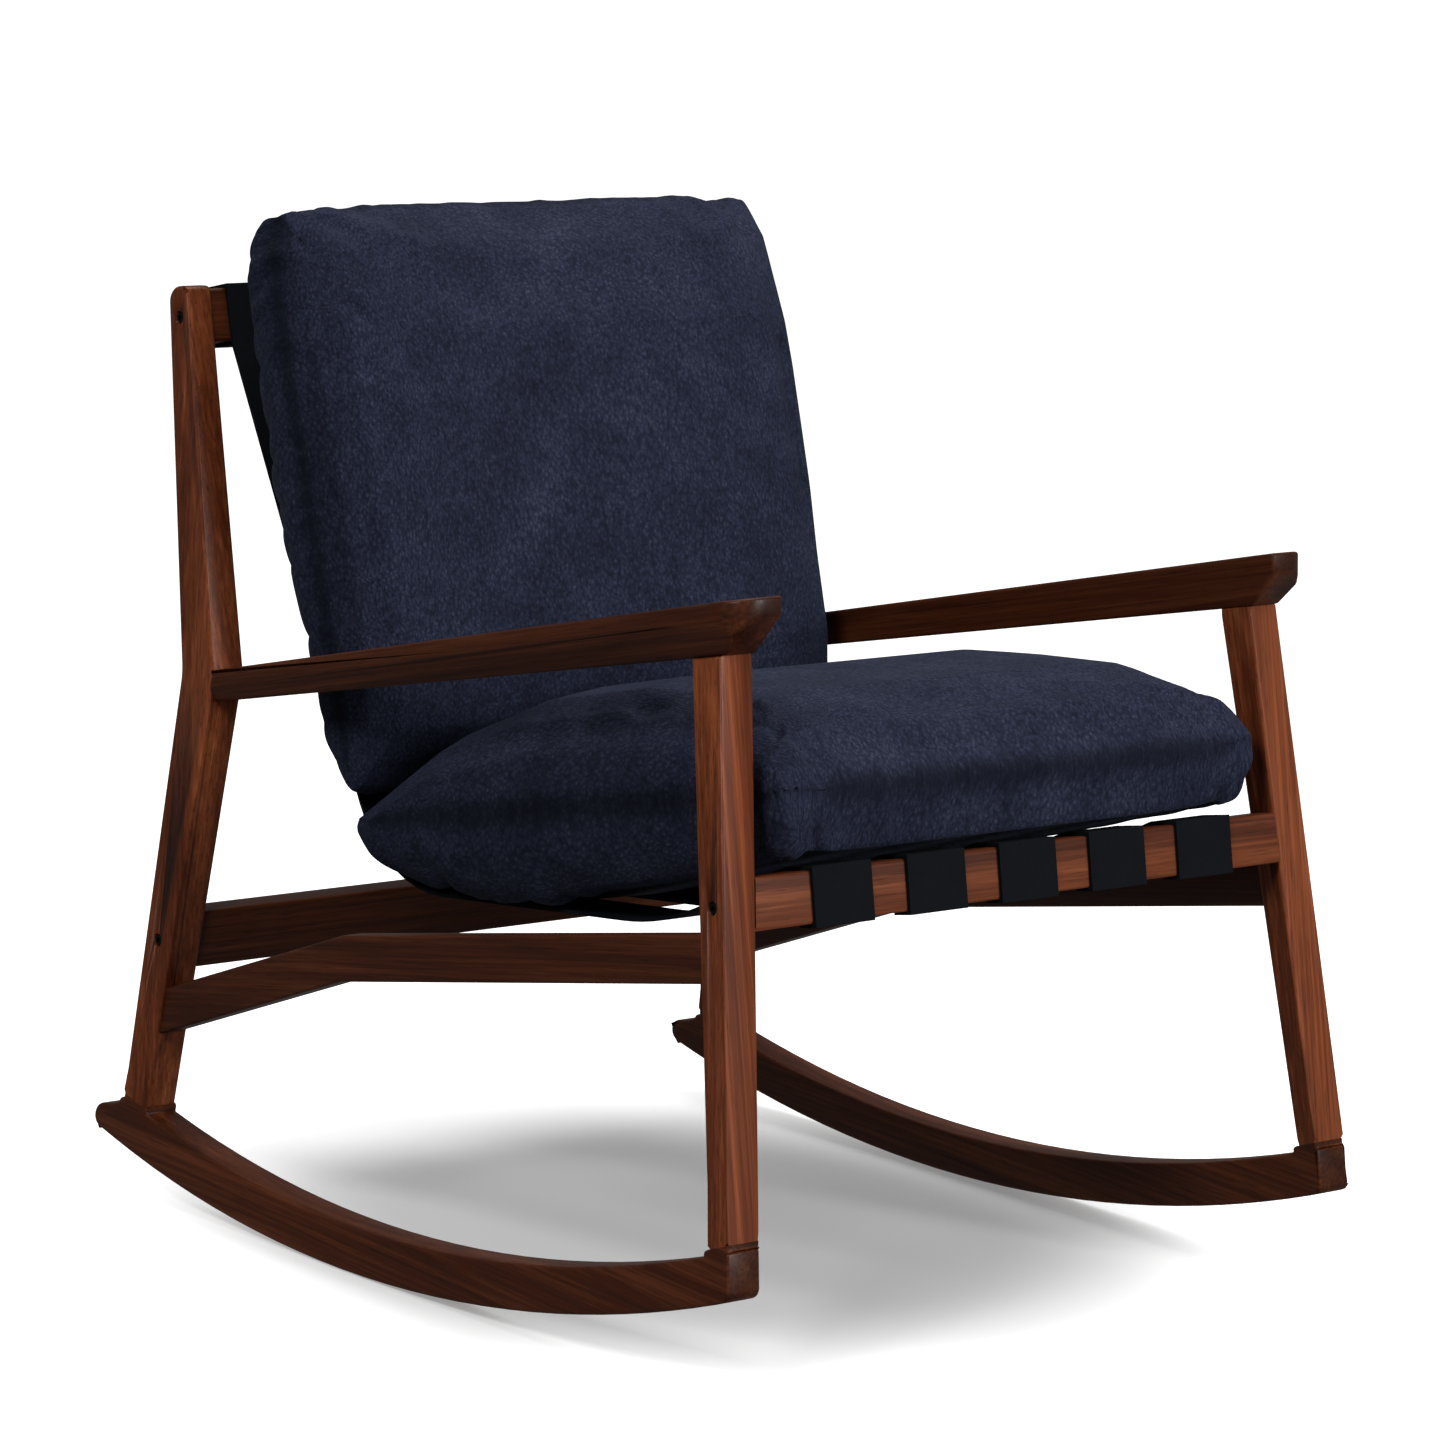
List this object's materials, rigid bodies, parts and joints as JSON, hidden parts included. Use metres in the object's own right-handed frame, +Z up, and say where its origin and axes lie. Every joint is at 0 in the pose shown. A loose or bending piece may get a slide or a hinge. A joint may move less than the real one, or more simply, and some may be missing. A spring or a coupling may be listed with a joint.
{
  "type": "rocking chair",
  "caption": "Rocking chair with a leaning timber frame on curved rockers, paddle armrests, a webbing sling and loose seat and back cushions.",
  "frame": {"origin": "middle of the box that holds the chair at rest, at floor height", "axes": "+X to the sitter's left, +Y to the back, +Z up; the chair faces -Y"},
  "size_m": [0.7, 0.816, 0.8309],
  "materials": {
    "walnut": "satin",
    "beech": "matte",
    "webbing": "matte",
    "navy_cloth": "matte",
    "filling": "matte",
    "black_steel": "satin",
    "zinc_steel": "satin"
  },
  "bodies": {
    "frame": {"left_front_leg": "walnut", "right_front_leg": "walnut", "left_rear_post": "walnut", "right_rear_post": "walnut", "left_armrest": "walnut", "right_armrest": "walnut", "left_rocker": "walnut", "right_rocker": "walnut", "left_side_stretcher": "walnut", "right_side_stretcher": "walnut", "front_rail": "walnut", "rear_rail": "walnut", "top_rail": "walnut", "strap_1": "webbing", "strap_2": "webbing", "strap_3": "webbing", "strap_4": "webbing", "strap_5": "webbing", "rocker_dowels": "beech", "armrest_dowels": "beech", "stretcher_dowels": "beech", "rail_dowels": "beech", "frame_bolts": "black_steel", "barrel_nuts": "zinc_steel", "strap_staples": "zinc_steel"},
    "seat_cushion": {"seat_cushion_cover": "navy_cloth", "seat_cushion_insert": "filling"},
    "back_cushion": {"back_cushion_cover": "navy_cloth", "back_cushion_insert": "filling"}
  },
  "joints": [
    {"name": "seat_cushion_lift_off", "type": "slide", "parent": "frame", "child": "seat_cushion", "axis": [0, -0.8216, 0.5701], "range_m": [0, 0.7]},
    {"name": "back_cushion_lift_off", "type": "slide", "parent": "frame", "child": "back_cushion", "axis": [0, 0, 1], "range_m": [0, 0.5]}
  ]
}
